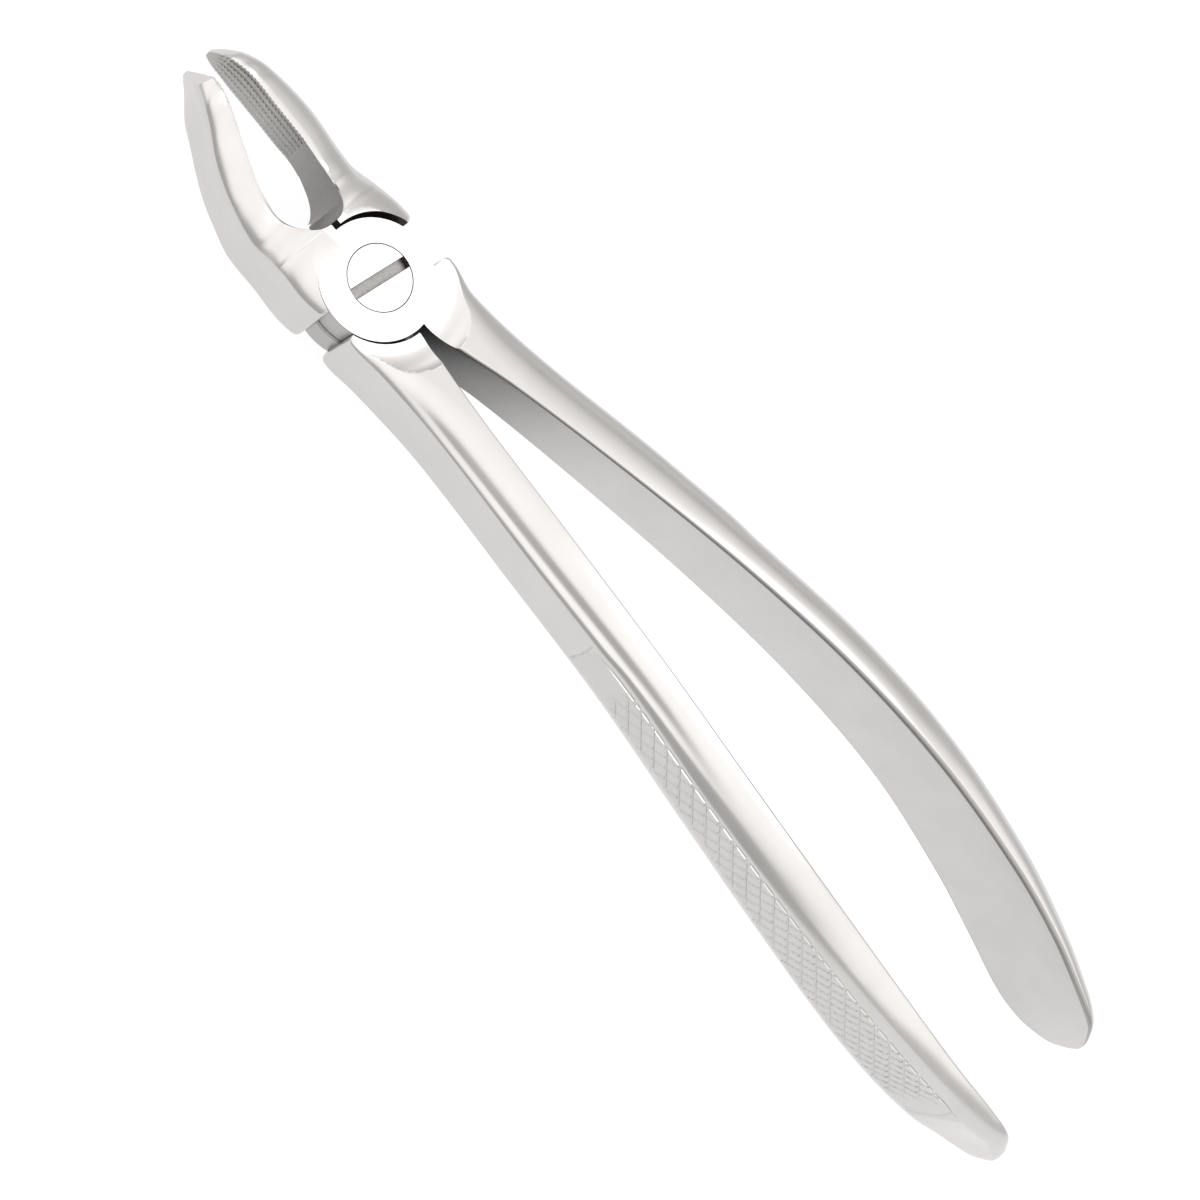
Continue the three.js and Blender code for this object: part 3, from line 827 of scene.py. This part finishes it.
def make_materials():
    """All the steels, in the order of the material numbers."""
    bright = (0.602, 0.588, 0.576)
    return [
        steel("steel_satin", bright, 0.22, 900, 0.25, stretch=(1, 0.15, 1)),
        steel("steel_ground", bright, 0.34, 4000, 0.3, fade=INNER_FACE_SHADE),
        # Darker steel for the right handle's inner top edge: a painted dark reflection.
        steel("steel_edge_dark_reflection", (0.36, 0.352, 0.342), 0.3, 3000, 0.2),
        # Darker grey for the serrated faces: partly their rougher teeth, partly painted shade of the
        # narrow space between the jaws. The HOLLOW_SHADE ramp darkens them further.
        steel("steel_serrated_shaded", (0.44, 0.43, 0.415), 0.42, 3000, 0.4, fade=HOLLOW_SHADE),
        steel("steel_milled", bright, 0.26, 1500, 0.1, mottling=0.06),
        steel("steel_knurled", (0.58, 0.57, 0.557), 0.34, 3000, 0.3),
        # Rougher and a darker grey: the plates' sides and the arms' shoulder faces.
        steel("steel_side", (0.42, 0.415, 0.405), 0.34, 3000, 0.2),
        # Near-black: painted shade on the walls of pockets and bores and in the hollow behind the crotch.
        steel("steel_recess_shade", (0.06, 0.058, 0.055), 0.45, 3000, 0.3),
        steel("steel_slot", (0.3, 0.292, 0.285), 0.38, 3000, 0.4, mottling=0.12),
    ]


def finish_piece(piece, body, node):
    """Smooth shading, the piece's body, and its CAD node hidden."""
    piece.data.shade_smooth()
    piece.data.set_sharp_from_angle(angle=SHARP_ANGLE)
    weighted = piece.modifiers.new("weighted_normals", "WEIGHTED_NORMAL")
    weighted.keep_sharp = True
    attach(piece, body)
    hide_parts(node)


# --- Camera, floor and light ---

# The camera stands above the left jaw, turned so that the forceps lie across the frame.
CAMERA_PLACE = (-0.114106, 0.012090, 0.248547)
CAMERA_RIGHT = (0.64150, -0.62411, 0.44606)
CAMERA_UP = (0.65226, 0.74982, 0.11106)
CAMERA_LENS = 65.47
CAMERA_SENSOR = 36

FLOOR_DROP = 0.05
FLOOR_REACH = 1500
FLOOR_GLOW = 0.86

# Brightness of the sky by its height, on each side of the forceps and beyond their ends.
LEFT_SKY = ((0, 0.58), (0.3, 0.6), (0.66, 0.69), (0.8, 1.34), (0.95, 1.65))
RIGHT_SKY = ((0, 0.85), (0.5, 0.72), (0.78, 1.26), (0.95, 1.65))
END_SKY = ((0, 0.8), (0.32, 0.85), (0.5, 1.58), (0.95, 1.65))
SKY_TINT = (1, 0.99, 0.98)
SIDE_BLEND = (-0.3, 0.3)
END_BLEND = (0.35, 0.65)


def make_camera():
    data = bpy.data.cameras.new("camera")
    data.sensor_width = CAMERA_SENSOR
    data.lens = CAMERA_LENS
    data.clip_start = 0.01
    data.clip_end = 10
    camera = bpy.data.objects.new("camera", data)
    right = Vector(CAMERA_RIGHT)
    up = Vector(CAMERA_UP)
    back = right.cross(up)
    camera.matrix_world = Matrix((
        (right.x, up.x, back.x, CAMERA_PLACE[0]),
        (right.y, up.y, back.y, CAMERA_PLACE[1]),
        (right.z, up.z, back.z, CAMERA_PLACE[2]),
        (0, 0, 0, 1),
    ))
    bpy.context.scene.collection.objects.link(camera)
    bpy.context.scene.camera = camera


def make_floor():
    """White floor just under the forceps."""
    level = CAD_BOX[0].z / MM - FLOOR_DROP
    r = FLOOR_REACH
    points = [(-r, -r, level), (r, -r, level), (r, r, level), (-r, r, level)]
    floor = mesh_object("floor", points, [(0, 1, 2, 3)])
    material = bpy.data.materials.new("floor")
    material.use_nodes = True
    shader = material.node_tree.nodes["Principled BSDF"]
    shader.inputs["Base Color"].default_value = (0.2, 0.2, 0.2, 1)
    shader.inputs["Roughness"].default_value = 0.9
    shader.inputs["Specular IOR Level"].default_value = 0.0
    shader.inputs["Emission Color"].default_value = (1, 1, 1, 1)
    shader.inputs["Emission Strength"].default_value = FLOOR_GLOW
    floor.data.materials.append(material)


def make_world():
    """White tent: bright overhead and along the forceps, greyer at its sides."""
    world = bpy.data.worlds.new("world")
    world.use_nodes = True
    nodes, links = world.node_tree.nodes, world.node_tree.links
    place = nodes.new("ShaderNodeTexCoord")
    parts = nodes.new("ShaderNodeSeparateXYZ")
    links.new(place.outputs["Generated"], parts.inputs["Vector"])
    left, right, ends = (grey_ramp(nodes, stops, SKY_TINT) for stops in (LEFT_SKY, RIGHT_SKY, END_SKY))
    for ramp in (left, right, ends):
        links.new(parts.outputs["Z"], ramp.inputs["Fac"])

    def blend(value, span, below, above):
        share = nodes.new("ShaderNodeMapRange")
        share.interpolation_type = "SMOOTHSTEP"
        share.inputs["From Min"].default_value = span[0]
        share.inputs["From Max"].default_value = span[1]
        links.new(value, share.inputs["Value"])
        mix = nodes.new("ShaderNodeMixRGB")
        links.new(share.outputs["Result"], mix.inputs["Fac"])
        links.new(below, mix.inputs["Color1"])
        links.new(above, mix.inputs["Color2"])
        return mix.outputs["Color"]

    along = nodes.new("ShaderNodeMath")
    along.operation = "ABSOLUTE"
    links.new(parts.outputs["Y"], along.inputs[0])
    sides = blend(parts.outputs["X"], SIDE_BLEND, left.outputs["Color"], right.outputs["Color"])
    sky = blend(along.outputs["Value"], END_BLEND, sides, ends.outputs["Color"])
    links.new(sky, nodes["Background"].inputs["Color"])
    nodes["Background"].inputs["Strength"].default_value = 1.0
    bpy.context.scene.world = world


def make_light(name, direction, distance, size, power):
    """Round soft light, aimed at the joint from a direction."""
    data = bpy.data.lights.new(name, "AREA")
    data.shape = "DISK"
    data.size = size
    data.energy = power
    light = bpy.data.objects.new(name, data)
    direction = Vector(direction).normalized()
    light.location = direction * distance
    light.rotation_euler = direction.to_track_quat("Z", "Y").to_euler()
    bpy.context.scene.collection.objects.link(light)


make_camera()
make_floor()
make_world()
make_light("key", direction=(0.35, -0.2, 0.9), distance=0.9, size=0.5, power=0.6)
bpy.context.scene.view_settings.view_transform = "Standard"

MATERIALS = make_materials()
finish_piece(upper_half(), "upper_body", "upper_half")
finish_piece(lower_half(), "lower_body", "lower_half")
finish_piece(pivot_screw(), "lower_body", "pivot_screw")
